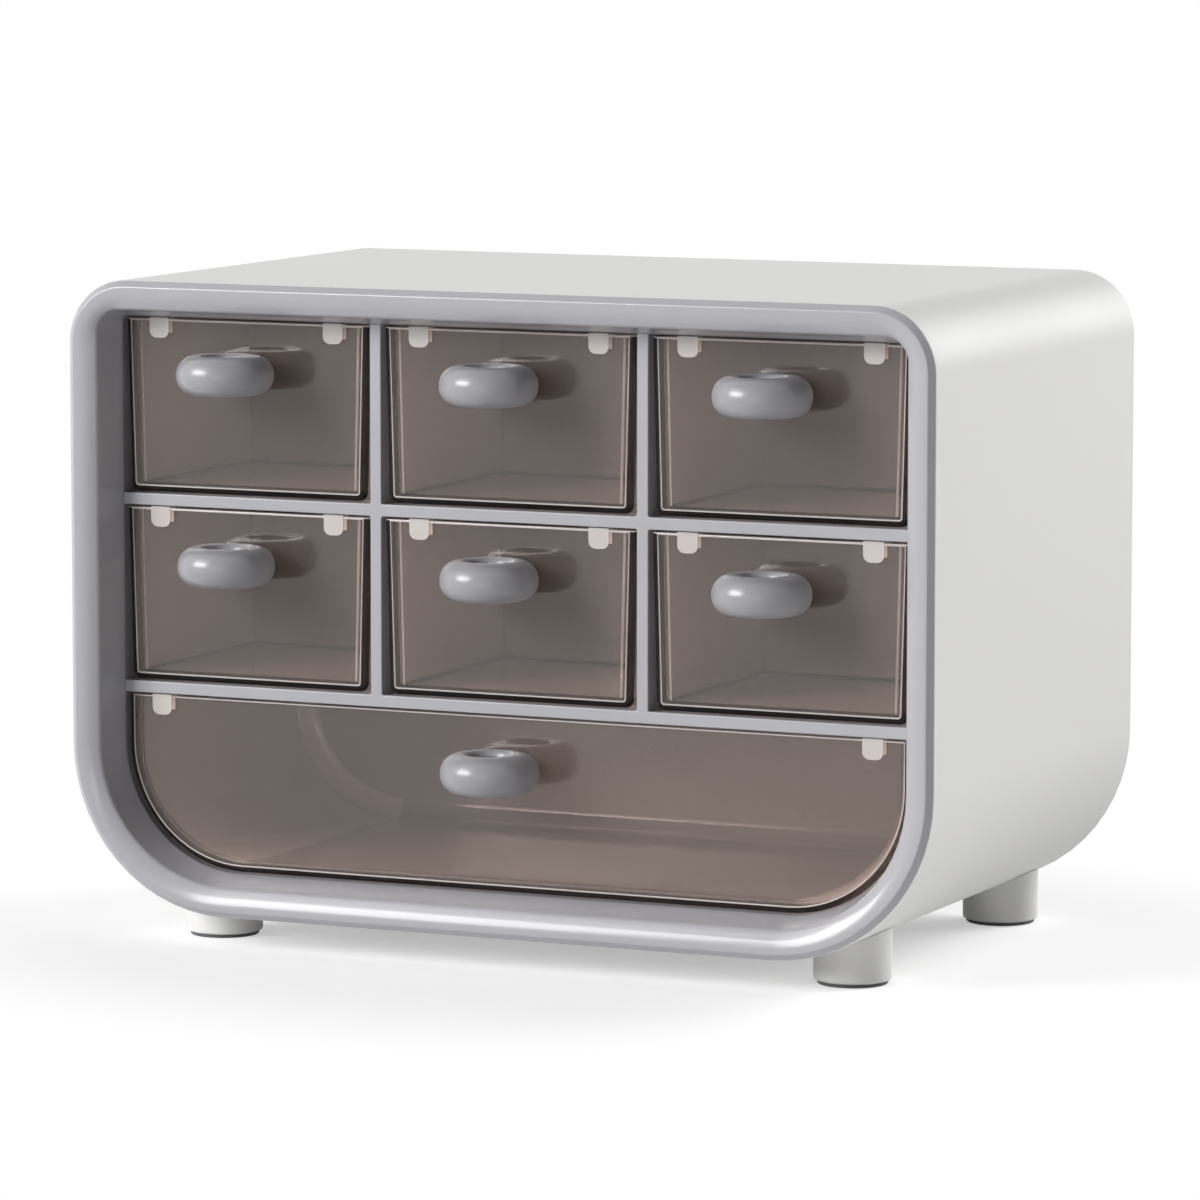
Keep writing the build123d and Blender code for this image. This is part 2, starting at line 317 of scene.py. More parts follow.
class Dresser:
    """Holds the finishes and dresses pieces with them."""

    def __init__(self) -> None:
        """Make every finish's material once."""
        group = surface_group()
        self.materials = {finish.slot: finish.material(group) for finish in FINISHES}
        zones = [ZONE_FINISHES[zone].material(group) for zone in sorted(Zone)]
        # the clips take only the painted highlight on their edges
        self.zones = {Slot.SMOKY: zones, Slot.MILKY: zones[: Zone.BRIGHT_EDGE]}
        self.liner = PAINTED_SHADE_LINER.material(group)

    def dress(self, piece: bpy.types.Object, slot: Slot, body: str, nodes: Sequence[str]) -> None:
        """Give a new piece its finish's materials and its body, and hide the nodes that it
        replaces.

        Args:
            piece: the new object.
            slot: the record's slot that its finish belongs to.
            body: the body that carries it.
            nodes: the nodes that it replaces.
        """
        piece.data.materials.append(self.materials[slot])
        for zone in self.zones.get(slot, ()):
            piece.data.materials.append(zone)
        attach(piece, body)
        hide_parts(*nodes)
        log.info("%s: %d faces on %s", piece.name, len(piece.data.polygons), body)

    def repaint(self, node: str, slot: Slot, painted_inner_shade: bool = False) -> None:
        """Give a carried-over node a finish.

        Args:
            node: the node's name.
            slot: the record's slot that its finish belongs to.
            painted_inner_shade: the node lines the inside and takes a darker grey that paints the
                shade in there.
        """
        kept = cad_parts[node]
        if not kept.material_slots:
            kept.data.materials.append(None)
        for place in kept.material_slots:
            place.material = self.liner if painted_inner_shade else self.materials[slot]
        log.info("%s: kept, %s", node, slot.value)


@dataclass(frozen=True)
class Outline:
    """An upright rounded outline, with one radius above and one below."""

    left: float
    right: float
    floor: float
    top: float
    upper_radius: float
    lower_radius: float

    def inset(self, amount: float, upper_radius: float | None = None) -> "Outline":
        """Move the outline inwards.

        Args:
            amount: how far it moves.
            upper_radius: the new radius above, where it isn't the old one less the move.

        Returns:
            The inner outline.
        """
        upper = self.upper_radius - amount if upper_radius is None else upper_radius
        return Outline(
            self.left + amount,
            self.right - amount,
            self.floor + amount,
            self.top - amount,
            upper,
            self.lower_radius - amount,
        )

    def corner(self, right: bool, upper: bool) -> tuple[Vector, float]:
        """Find one corner's arc.

        Args:
            right: the corner on the right, or else on the left.
            upper: the corner above, or else below.

        Returns:
            The arc's centre and radius.
        """
        radius = self.upper_radius if upper else self.lower_radius
        x = self.right - radius if right else self.left + radius
        z = self.top - radius if upper else self.floor + radius
        return Vector((x, 0, z)), radius

    def follow(self, other: "Outline", point: Vector, y: float) -> Vector:
        """Carry a point of this outline to its match on another one.

        Args:
            other: the outline to go to.
            point: a point on one of this outline's arcs.
            y: the other outline's place.

        Returns:
            The matching place.
        """
        right = point.x > (self.left + self.right) / 2
        upper = point.z > (self.floor + self.lower_radius + self.top - self.upper_radius) / 2
        centre, radius = self.corner(right, upper)
        new_centre, new_radius = other.corner(right, upper)
        place = new_centre + (point - centre) * (new_radius / radius)
        place.y = y
        return place


class Moulding:
    """A mesh in the making, with the shaping steps that the pieces share."""

    def __init__(self) -> None:
        """Start with an empty mesh."""
        self.mesh: bmesh.types.BMesh = bmesh.new()

    def polygon(
        self, points: Sequence[Sequence[float]], radii: Sequence[float], steps: int = ARC_STEPS
    ) -> bmesh.types.BMFace:
        """Make a flat face and round its corners.

        Args:
            points: the corners.
            radii: the radius at each corner, zero for a sharp one.
            steps: segments in each arc.

        Returns:
            The rounded face.
        """
        before = set(self.mesh.faces)
        corners = [self.mesh.verts.new(point) for point in points]
        self.mesh.faces.new(corners)
        for radius in sorted(set(radii) - {0}):
            chosen = [corner for corner, own in zip(corners, radii) if own == radius]
            bmesh.ops.bevel(
                self.mesh, geom=chosen, offset=radius, offset_type="OFFSET", segments=steps,
                profile=0.5, affect="VERTICES", material=-1, clamp_overlap=False,
            )
        return next(face for face in self.mesh.faces if face not in before)

    def sweep(self, stations: Sequence[tuple[Outline, float]]) -> list[Edges]:
        """Carry a rounded outline through stations and back to the first, as a closed ring.

        Args:
            stations: each outline with its place on Y.

        Returns:
            The loop of edges at each station.
        """
        shape, y = stations[0]
        corners = (
            (shape.left, y, shape.floor), (shape.right, y, shape.floor),
            (shape.right, y, shape.top), (shape.left, y, shape.top),
        )
        radii = (shape.lower_radius, shape.lower_radius, shape.upper_radius, shape.upper_radius)
        face = self.polygon(corners, radii)
        loops = [list(face.edges)]
        bmesh.ops.delete(self.mesh, geom=[face], context="FACES_ONLY")
        for following, y in stations[1:]:
            made = bmesh.ops.extrude_edge_only(self.mesh, edges=loops[-1])["geom"]
            verts = set(only(made, bmesh.types.BMVert))
            for vert in verts:
                vert.co = shape.follow(following, vert.co, y)
            edges = only(made, bmesh.types.BMEdge)
            loops.append([edge for edge in edges if verts.issuperset(edge.verts)])
            shape = following
        bmesh.ops.bridge_loops(self.mesh, edges=loops[0] + loops[-1])
        return loops

    def push(self, faces: Faces, move: Sequence[float]) -> None:
        """Extrude faces into a solid.

        Args:
            faces: the faces, which stay.
            move: how far their copies go.
        """
        made = bmesh.ops.extrude_face_region(self.mesh, geom=faces, use_keep_orig=True)["geom"]
        bmesh.ops.translate(self.mesh, verts=only(made, bmesh.types.BMVert), vec=move)

    def turn(self, points: Sequence[Sequence[float]], centre: Sequence[float]) -> None:
        """Spin a line of points into a round form.

        Args:
            points: the points of the line.
            centre: a point on the upright axis.
        """
        verts = [self.mesh.verts.new(point) for point in points]
        for pair in zip(verts, verts[1:]):
            self.mesh.edges.new(pair)
        self.spin(centre)

    def spin(self, centre: Sequence[float], steps: int = SPIN_STEPS) -> None:
        """Spin all lines so far round an upright axis.

        Args:
            centre: a point on the axis.
            steps: segments round the form.
        """
        bmesh.ops.spin(
            self.mesh, geom=[*self.mesh.verts, *self.mesh.edges], cent=centre, axis=UP,
            angle=math.tau, steps=steps, dvec=(0, 0, 0), use_merge=True, use_duplicate=False,
        )

    def cut(self, place: Sequence[float], clear: bool = False) -> Edges:
        """Cut the mesh along an upright plane that faces backwards.

        Args:
            place: a point on the plane.
            clear: what lies behind the plane goes.

        Returns:
            The edges along the cut.
        """
        made = bmesh.ops.bisect_plane(
            self.mesh, geom=[*self.mesh.verts, *self.mesh.edges, *self.mesh.faces],
            plane_co=place, plane_no=BACKWARDS, clear_outer=clear,
        )["geom_cut"]
        return only(made, bmesh.types.BMEdge)

    def face_outwards(self) -> None:
        """Turn every face outwards."""
        bmesh.ops.recalc_face_normals(self.mesh, faces=self.mesh.faces)

    def edges(self, test: EdgeTest) -> Edges:
        """Find edges by the places of their ends.

        Args:
            test: says whether an edge with these two ends is meant.

        Returns:
            The edges.
        """
        return [edge for edge in self.mesh.edges if test(edge.verts[0].co, edge.verts[1].co)]

    def sharp(self, test: EdgeTest | None = None) -> Edges:
        """Find edges with a clear bend.

        Args:
            test: says which edges are meant, or else all are.

        Returns:
            The edges.
        """
        chosen = self.mesh.edges if test is None else self.edges(test)
        return [edge for edge in chosen if edge.is_manifold and edge.calc_face_angle() > SHARP]

    def rounded(self, edges: Edges, radius: float, segments: int = ROUND_STEPS) -> Faces:
        """Round edges over.

        Args:
            edges: the edges.
            radius: the rounding's radius.
            segments: segments across the rounding.

        Returns:
            The rounding's faces.
        """
        return bmesh.ops.bevel(
            self.mesh, geom=edges, offset=radius, offset_type="OFFSET", segments=segments,
            profile=0.5, affect="EDGES", material=-1, clamp_overlap=True,
        )["faces"]

    def groove(self, y: float, width: float, depth: float) -> Faces:
        """Run a fine groove round the largest flat face that looks forward.

        Args:
            y: the face's place.
            width: the groove's width.
            depth: the groove's depth.

        Returns:
            The groove's two flanks.
        """
        flat = [face for face in self.mesh.faces if all(is_at(vert.co.y, y) for vert in face.verts)]
        field = max(flat, key=lambda face: face.calc_area())
        flanks: Faces = []
        for sink in (-depth, depth):
            flanks += bmesh.ops.inset_individual(
                self.mesh, faces=[field], thickness=width / 2, depth=sink
            )["faces"]
        return flanks

    def finished(self, name: str, crease: float = 32.0, weighted: bool = True) -> bpy.types.Object:
        """Turn the mesh into an object.

        Args:
            name: the piece's name.
            crease: the angle in degrees past which an edge stays sharp.
            weighted: large flat faces keep their own normals.

        Returns:
            The new object.
        """
        bmesh.ops.remove_doubles(self.mesh, verts=self.mesh.verts, dist=MERGE)
        self.face_outwards()
        data = bpy.data.meshes.new(name)
        self.mesh.to_mesh(data)
        self.mesh.free()
        data.shade_smooth()
        data.set_sharp_from_angle(angle=math.radians(crease))
        piece = bpy.data.objects.new(name, data)
        bpy.context.scene.collection.objects.link(piece)
        if weighted:
            modifier = piece.modifiers.new("flat_faces", "WEIGHTED_NORMAL")
            modifier.keep_sharp = True
            modifier.weight = FLAT_FACE_WEIGHT
        return piece


def is_at(value: float, place: float) -> bool:
    """Say whether a coordinate lies at a place."""
    return abs(value - place) < NEAR


def level(z: float) -> EdgeTest:
    """Make a test for edges that lie at one height."""
    return lambda a, b: is_at(a.z, z) and is_at(b.z, z)


def across(y: float) -> EdgeTest:
    """Make a test for edges that lie at one place from front to back."""
    return lambda a, b: is_at(a.y, y) and is_at(b.y, y)


def across_below(y: float, top: float) -> EdgeTest:
    """Make a test for edges at one place from front to back, without those along the top."""
    return lambda a, b: across(y)(a, b) and not level(top)(a, b)


def only(made: Sequence[object], kind: type[Element]) -> list[Element]:
    """Pick the elements of one kind."""
    return [item for item in made if isinstance(item, kind)]


def paint(faces: Faces, zone: Zone) -> None:
    """Give faces the finish of a zone."""
    for face in faces:
        face.material_index = zone


@dataclass
class Body:
    """The white shell, the grey rim and the grid of shelves and dividers."""

    upper_radius: float = 20.5 * MM
    lower_radius: float = LOWER_RADIUS
    wall: float = 2.6 * MM
    fit: float = 0.1 * MM
    front_round: float = 0.3 * MM
    back_round: float = 1.0 * MM
    back_steps: int = 4
    seam: float = 0.12 * MM
    flange_back: float = 0.3 * MM
    crest_inset: float = 2.0 * MM
    crest_round: float = 0.45 * MM
    edge_inset: float = 9.5 * MM
    edge_drop: float = 2.7 * MM
    edge_radius: float = 8.0 * MM
    face_steps: int = 10
    face_bend: float = 2.2
    corner_bend: int = 3
    ridge_round: float = 0.7 * MM
    rim_steps: int = 4
    rim_crease: float = 40.0
    rim_width: float = 12.3 * MM
    skin: float = 2.2 * MM
    opening_radius: float = 1.6 * MM
    side_gap: float = 0.7 * MM
    floor_gap: float = 0.3 * MM
    grid_round: float = 0.35 * MM
    grid_fillet: float = 0.7 * MM

    def outline(self) -> Outline:
        """Take the body's outline from the shell's box."""
        low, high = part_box("outer_shell")
        return Outline(low.x, high.x, low.z, high.z, self.upper_radius, self.lower_radius)

    def shell(self, dresser: Dresser) -> None:
        """Build the white shell.

        Args:
            dresser: dresses the piece.
        """
        low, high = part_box("outer_shell")
        outer = self.outline()
        inner = outer.inset(self.wall)
        moulding = Moulding()
        loops = moulding.sweep([(outer, low.y), (outer, high.y), (inner, high.y), (inner, low.y)])
        moulding.rounded(loops[0], self.front_round)
        moulding.rounded(loops[1], self.back_round, self.back_steps)
        piece = moulding.finished("shell_moulding")
        dresser.dress(piece, Slot.WHITE, CABINET, ["outer_shell"])

    def rim(self, dresser: Dresser) -> None:
        """Build the grey rim: a slanted shoulder, a face that falls inwards and a deep inner wall.

        Args:
            dresser: dresses the piece.
        """
        low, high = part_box("front_frame")
        outline = self.outline()
        shell_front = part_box("outer_shell")[0].y
        side = outline.inset(self.seam)
        plug = outline.inset(self.wall + self.fit)
        opening = outline.inset(self.rim_width, self.opening_radius)
        stations = [(side, shell_front), (side, shell_front - self.flange_back)]
        face_width = self.edge_inset - self.crest_inset
        spread = self.edge_radius - self.upper_radius + self.edge_inset
        for step in range(self.face_steps + 1):
            share = step / self.face_steps
            inset = self.crest_inset + face_width * share
            corner = self.upper_radius - inset + spread * share**self.corner_bend
            drop = self.edge_drop * share**self.face_bend
            stations.append((outline.inset(inset, corner), low.y + drop))
        flange, crest, ridge = 1, 2, len(stations) - 1
        hollow = low.y + self.edge_drop + self.skin
        stations += [
            (opening, high.y),
            (opening.inset(-self.skin), high.y),
            (outline.inset(self.edge_inset - self.skin, self.edge_radius + self.skin), hollow),
            (plug.inset(self.skin), hollow),
            (plug.inset(self.skin), high.y),
            (plug, high.y),
            (plug, shell_front),
        ]
        moulding = Moulding()
        loops = moulding.sweep(stations)
        moulding.rounded(loops[crest] + loops[flange], self.crest_round, self.rim_steps)
        moulding.rounded(loops[ridge], self.ridge_round, self.rim_steps)
        piece = moulding.finished("rim_ring", crease=self.rim_crease)
        dresser.dress(piece, Slot.GREY, CABINET, ["front_frame"])

    def grid(self, dresser: Dresser) -> None:
        """Build the shelves and dividers from one pierced sheet.

        Args:
            dresser: dresses the piece.
        """
        low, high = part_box("drawer_grid")
        left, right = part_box("drawer_top_left"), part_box("drawer_top_right")
        lower_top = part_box("drawer_middle_left")[0].z - self.floor_gap
        thickness = lower_top - low.z
        upper_top = left[0].z - self.floor_gap
        inner_left = left[1].x + self.side_gap
        inner_right = right[0].x - self.side_gap
        columns = (
            low.x, inner_left, inner_left + thickness, inner_right - thickness, inner_right, high.x
        )
        rows = (low.z, lower_top, upper_top - thickness, upper_top, high.z)
        wide, tall = len(columns) - 1, len(rows) - 1
        moulding = Moulding()
        mesh = moulding.mesh
        bmesh.ops.create_grid(mesh, x_segments=wide, y_segments=tall, size=1)
        for vert in mesh.verts:
            column, row = round((vert.co.x + 1) / 2 * wide), round((vert.co.y + 1) / 2 * tall)
            vert.co = (columns[column], low.y, rows[row])
        cells = []
        for face in mesh.faces:
            middle = face.calc_center_median()
            places = [vert.co.x for vert in face.verts]
            in_row = lower_top < middle.z < upper_top - thickness or middle.z > upper_top
            if max(places) - min(places) > 2 * thickness and in_row:
                cells.append(face)
        bmesh.ops.delete(mesh, geom=cells, context="FACES")
        length = high.y - low.y
        moulding.push(list(mesh.faces), (0, length, 0))
        moulding.face_outwards()
        deep = [
            edge for edge in moulding.sharp()
            if not edge.is_convex and abs(edge.calc_length() - length) < NEAR
        ]
        moulding.rounded(deep, self.grid_fillet)
        moulding.rounded(moulding.sharp(across(low.y)), self.grid_round)
        piece = moulding.finished("grid_shelves")
        dresser.dress(piece, Slot.GREY, CABINET, ["drawer_grid"])

    def build(self, dresser: Dresser) -> None:
        """Build the body's pieces and dress the plates that stay.

        Args:
            dresser: dresses the pieces.
        """
        self.shell(dresser)
        self.rim(dresser)
        self.grid(dresser)
        # the inner sleeve and rear panel take the darker grey of painted shade
        dresser.repaint("inner_sleeve", Slot.GREY, painted_inner_shade=True)
        dresser.repaint("rear_panel", Slot.GREY, painted_inner_shade=True)


@dataclass
class Feet:
    """Round feet that meet the curve under the shell, with a soft pad below each."""

    edge_round: float = 0.9 * MM
    edge_steps: int = 4
    crease: float = 40.0
    pad_round: float = 0.3 * MM
    pad_crease: float = 50.0
    lower_radius: float = LOWER_RADIUS
    seam: float = 0.1 * MM

    def underside(self, x: float) -> float:
        """Find the height of the shell's underside.

        Args:
            x: the place across the body.

        Returns:
            The height, just under the shell.
        """
        low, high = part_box("outer_shell")
        reach = self.lower_radius + self.seam
        past = max(abs(x) - (high.x - self.lower_radius), 0)
        return low.z + self.lower_radius - math.sqrt(reach**2 - past**2)

    def foot(self, dresser: Dresser, place: FootPlace) -> None:
        """Build one foot.

        Args:
            dresser: dresses the piece.
            place: where it stands.
        """
        node = f"foot_{place.value}"
        low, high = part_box(node)
        x, y = (low.x + high.x) / 2, (low.y + high.y) / 2
        radius = (high.x - low.x) / 2
        moulding = Moulding()
        line = [(x, y, low.z), (x + radius, y, low.z), (x + radius, y, high.z)]
        moulding.turn(line, (x, y, 0))
        bmesh.ops.edgeloop_fill(moulding.mesh, edges=moulding.edges(level(high.z)))
        foot_edge = [
            edge for edge in moulding.edges(level(low.z))
            if all((vert.co.xy - Vector((x, y))).length > radius / 2 for vert in edge.verts)
        ]
        moulding.rounded(foot_edge, self.edge_round, self.edge_steps)
        for vert in moulding.mesh.verts:
            if is_at(vert.co.z, high.z):
                vert.co.z = self.underside(vert.co.x)
        piece = moulding.finished(f"round_{node}", crease=self.crease)
        dresser.dress(piece, Slot.WHITE, CABINET, [node])

    def pad(self, dresser: Dresser, place: FootPlace) -> None:
        """Build one pad.

        Args:
            dresser: dresses the piece.
            place: where it lies.
        """
        node = f"foot_pad_{place.value}"
        low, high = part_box(node)
        x, y = (low.x + high.x) / 2, (low.y + high.y) / 2
        radius = (high.x - low.x) / 2
        moulding = Moulding()
        line = [
            (x, y, low.z), (x + radius - self.pad_round, y, low.z),
            (x + radius, y, low.z + self.pad_round), (x + radius, y, high.z), (x, y, high.z),
        ]
        moulding.turn(line, (x, y, 0))
        piece = moulding.finished(f"soft_{node}", crease=self.pad_crease)
        dresser.dress(piece, Slot.RUBBER, CABINET, [node])

    def build(self, dresser: Dresser) -> None:
        """Build every foot and pad.

        Args:
            dresser: dresses the pieces.
        """
        for place in FootPlace:
            self.foot(dresser, place)
            self.pad(dresser, place)


@dataclass
class Drawer:
    """A smoky drawer with its ring knob, knob screw and pair of clips."""

    panel: float = 3.0 * MM
    wall: float = 2.4 * MM
    draft: float = 1.4 * MM
    lower_corner: float = 3.0 * MM
    corner_steps: int = 6
    front_round: float = 2.0 * MM
    inner_round: float = 2.6 * MM
    front_steps: int = 5
    first_strip: float = 0.05
    floor_round: float = 0.8 * MM
    rim_round: float = 0.35 * MM
    rim_steps: int = 2
    cross_depth: float = 78.0 * MM
    cross_wall: float = 2.0 * MM
    wide_corner: float = 41.0 * MM
    wide_steps: int = 18
    cove: float = 6.0 * MM
    cove_steps: int = 7
    groove_width: float = 0.5 * MM
    groove_depth: float = 0.2 * MM
    ring_width: float = 9.0 * MM
    ring_outer: float = 6.0 * MM
    ring_inner: float = 2.0 * MM
    ring_steps: int = 12
    ring_spin: int = 96
    clip_width: float = 7.0 * MM
    clip_thickness: float = 0.5 * MM
    clip_corner: float = 2.4 * MM
    clip_rear_drop: float = 4.6 * MM
    clip_round: float = 0.15 * MM

    def catch_light(self, moulding: Moulding, front: float, top: float) -> None:
        """Round a drawer's top edges, and paint a highlight on the front's top rounding and on a
        fine groove round its field.

        Args:
            moulding: the drawer's mesh.
            front: the front's place.
            top: the height of the top.
        """
        rim = moulding.rounded(moulding.sharp(level(top)), self.rim_round, self.rim_steps)
        # the front's top rounding gets the painted highlight
        for face in rim:
            if face.is_valid and face.calc_center_median().y < front + self.panel:
                face.material_index = Zone.BRIGHT_EDGE
        paint(moulding.groove(front, self.groove_width, self.groove_depth), Zone.BRIGHT_EDGE)

    def small_bin(self, dresser: Dresser, place: str) -> None:
        """Build a small drawer with drafted sides and a cross wall.

        Args:
            dresser: dresses the piece.
            place: the drawer's place.
        """
        node = f"drawer_{place}"
        low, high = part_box(node)
        middle = (low.x + high.x) / 2
        half_top = (high.x - low.x) / 2
        slope = self.draft / (high.z - low.z)

        def half(z: float) -> float:
            """Half the drawer's width at a height."""
            return half_top - slope * (high.z - z)

        moulding = Moulding()
        section = moulding.polygon(
            [
                (middle - half(low.z), low.y, low.z), (middle + half(low.z), low.y, low.z),
                (middle + half_top, low.y, high.z), (middle - half_top, low.y, high.z),
            ],
            (self.lower_corner, self.lower_corner, 0, 0),
            self.corner_steps,
        )
        moulding.push([section], (0, high.y - low.y, 0))
        panel_back = low.y + self.panel
        cross = panel_back + self.cross_depth
        mesh = moulding.mesh
        moulding.cut((0, cross + self.cross_wall / 2, 0))
        tops = [
            face for face in mesh.faces if all(is_at(vert.co.z, high.z) for vert in face.verts)
        ]
        floor = low.z + self.wall
        spans = ((panel_back, cross), (cross + self.cross_wall, high.y - self.wall))
        for face, span in zip(sorted(tops, key=lambda top: top.calc_center_median().y), spans):
            bmesh.ops.inset_individual(mesh, faces=[face], thickness=self.wall / 2)
            centre = face.calc_center_median()
            for vert in face.verts:
                side = 1 if vert.co.x > middle else -1
                end = span[1] if vert.co.y > centre.y else span[0]
                vert.co = (middle + side * (half_top - self.wall), end, high.z)
            bottom = bmesh.ops.extrude_discrete_faces(mesh, faces=[face])["faces"][0]
            for vert in bottom.verts:
                side = 1 if vert.co.x > middle else -1
                vert.co.x = middle + side * (half(floor) - self.wall)
                vert.co.z = floor
        moulding.face_outwards()

        def is_pocket_corner(a: Vector, b: Vector) -> bool:
            """Pick the upright inner corners behind the panel."""
            return across(panel_back)(a, b) and abs(a.z - b.z) > self.wall

        front = moulding.edges(across_below(low.y, high.z))
        # the front's roundings get painted shade
        paint(moulding.rounded(front, self.front_round, self.front_steps), Zone.DEEP_EDGE)
        corners = moulding.edges(is_pocket_corner)
        # the inner corners beside the panel take the hazy finish with its painted light
        for face in moulding.rounded(corners, self.inner_round, self.front_steps):
            if face.calc_center_median().y < panel_back + self.inner_round * self.first_strip:
                face.material_index = Zone.HAZY_WALL
        # inside, the side walls take the hazy finish that paints them lighter, and the back walls
        # and floor take painted shade
        for face in mesh.faces:
            if face.calc_center_median().y > panel_back + self.wall:
                sideways = abs(face.normal.x) > SIDEWAYS
                face.material_index = Zone.HAZY_WALL if sideways else Zone.SHADED_WALL
        # the inner floor's rounded edge gets painted shade
        paint(moulding.rounded(moulding.edges(level(floor)), self.floor_round), Zone.DEEP_EDGE)
        self.catch_light(moulding, low.y, high.z)
        piece = moulding.finished(f"bin_{place}")
        dresser.dress(piece, Slot.SMOKY, f"drawer_{place}_body", [node])

    def wide_bin(self, dresser: Dresser) -> None:
        """Build the full-width drawer, whose lower corners follow the rim.

        Args:
            dresser: dresses the piece.
        """
        node = f"drawer_{WIDE_DRAWER}"
        low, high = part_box(node)
        moulding = Moulding()
        mesh = moulding.mesh
        mouths: list[list[bmesh.types.BMVert]] = []
        inner_front, inner_back = low.y + self.panel, high.y - self.wall
        spans = ((0, low.y, high.y), (self.wall, inner_front, inner_back))
        for inset, start, end in spans:
            radius = self.wide_corner - inset
            section = moulding.polygon(
                [
                    (low.x + inset, start, low.z + inset), (high.x - inset, start, low.z + inset),
                    (high.x - inset, start, high.z), (low.x + inset, start, high.z),
                ],
                (radius, radius, 0, 0),
                self.wide_steps,
            )
            before = set(mesh.faces)
            moulding.push([section], (0, end - start, 0))
            top = next(
                face for face in mesh.faces
                if face not in before and all(is_at(vert.co.z, high.z) for vert in face.verts)
            )
            mouths.append(list(top.verts))
            bmesh.ops.delete(mesh, geom=[top], context="FACES_ONLY")
        outer, inner = mouths
        match = {vert: min(inner, key=lambda other: (other.co - vert.co).length) for vert in outer}
        for start, end in zip(outer, outer[1:] + outer[:1]):
            mesh.faces.new((start, end, match[end], match[start]))
        moulding.face_outwards()
        front, pocket_front, pocket_back = (
            across_below(y, high.z) for y in (low.y, inner_front, inner_back)
        )
        # the front's roundings get painted shade
        rounding = moulding.rounded(moulding.edges(front), self.front_round, self.front_steps)
        paint(rounding, Zone.DEEP_EDGE)
        moulding.rounded(moulding.edges(pocket_front), self.inner_round, self.front_steps)
        moulding.rounded(moulding.edges(pocket_back), self.cove, self.cove_steps)
        # inside, the flat floor and back take painted shade, and the curved corners take the hazy
        # finish that paints them lighter
        for face in mesh.faces:
            centre = face.calc_center_median()
            inside = low.x + self.wide_corner < centre.x < high.x - self.wide_corner
            if centre.y > inner_front + self.wall and centre.z < high.z - self.wall:
                face.material_index = Zone.SHADED_WALL if inside else Zone.HAZY_WALL
        self.catch_light(moulding, low.y, high.z)
        piece = moulding.finished(f"bin_{WIDE_DRAWER}")
        dresser.dress(piece, Slot.SMOKY, f"{node}_body", [node])

    def knob(self, dresser: Dresser, place: str) -> None:
        """Build one ring knob with its flat seat.

        Args:
            dresser: dresses the piece.
            place: the drawer's place.
        """
        node = f"knob_{place}"
        low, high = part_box(node)
        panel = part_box(f"drawer_{place}")[0].y
        radius = (high.x - low.x) / 2
        x, y, z = (low.x + high.x) / 2, low.y + radius, (low.z + high.z) / 2
        moulding = Moulding()
        mesh = moulding.mesh
        bore = radius - self.ring_width
        section = moulding.polygon(
            [
                (x + bore, y, low.z), (x + radius, y, low.z),
                (x + radius, y, high.z), (x + bore, y, high.z),
            ],
            (self.ring_inner, self.ring_outer, self.ring_outer, self.ring_inner),
            self.ring_steps,
        )
        bmesh.ops.delete(mesh, geom=[section], context="FACES_ONLY")
        moulding.spin((x, y, z), self.ring_spin)
        bmesh.ops.edgeloop_fill(mesh, edges=moulding.cut((x, panel, z), clear=True))
        piece = moulding.finished(f"ring_{node}", weighted=False)
        dresser.dress(piece, Slot.KNOB, f"drawer_{place}_body", [node])

    def clips(self, dresser: Dresser, place: str) -> None:
        """Build the drawer's two clips.

        Args:
            dresser: dresses the piece.
            place: the drawer's place.
        """
        node = f"clips_{place}"
        low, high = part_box(node)
        rear = high.z - self.clip_thickness - self.clip_rear_drop
        t = self.clip_thickness
        saddle = [
            (low.y, low.z), (low.y + t, low.z), (low.y + t, high.z - t), (high.y - t, high.z - t),
            (high.y - t, rear), (high.y, rear), (high.y, high.z), (low.y, high.z),
        ]
        moulding = Moulding()
        for x in (low.x, high.x - self.clip_width):
            face = moulding.polygon([(x, y, z) for y, z in saddle], (0,) * len(saddle))
            moulding.push([face], (self.clip_width, 0, 0))
        moulding.face_outwards()
        corners = moulding.edges(lambda a, b: level(low.z)(a, b) and abs(a.y - b.y) > t / 2)
        moulding.rounded(corners, self.clip_corner, self.corner_steps)
        sharp = [edge for edge in moulding.sharp() if edge.is_convex]
        # the clips' rounded edges get the painted highlight
        paint(moulding.rounded(sharp, self.clip_round, self.rim_steps), Zone.BRIGHT_EDGE)
        piece = moulding.finished(f"edge_{node}")
        dresser.dress(piece, Slot.MILKY, f"drawer_{place}_body", [node])

    def build(self, dresser: Dresser) -> None:
        """Build every drawer with what it carries.

        Args:
            dresser: dresses the pieces.
        """
        for place in SmallPlace:
            self.small_bin(dresser, place.value)
        self.wide_bin(dresser)
        for place in [small.value for small in SmallPlace] + [WIDE_DRAWER]:
            self.knob(dresser, place)
            dresser.repaint(f"knob_screw_{place}", Slot.STEEL)
            self.clips(dresser, place)


@dataclass(frozen=True)
class Softbox:
    """A soft light. Its bearing runs in degrees from before the drawers towards the right."""

    name: str
    bearing: float
    rise: float
    size: tuple[float, float]
    power: float
    reach: float = 4.0

    def hang(self, aim: Vector) -> None:
        """Hang the light.

        Args:
            aim: the place that it looks at.
        """
        data = bpy.data.lights.new(self.name, "AREA")
        data.shape = "RECTANGLE"
        data.size, data.size_y = self.size
        data.energy = self.power
        lamp = bpy.data.objects.new(self.name, data)
        bearing, rise = math.radians(self.bearing), math.radians(self.rise)
        away = Vector((math.sin(bearing), -math.cos(bearing), math.tan(rise))).normalized()
        lamp.location = aim + away * self.reach
        lamp.rotation_euler = (-away).to_track_quat("-Z", "Y").to_euler()
        bpy.context.scene.collection.objects.link(lamp)


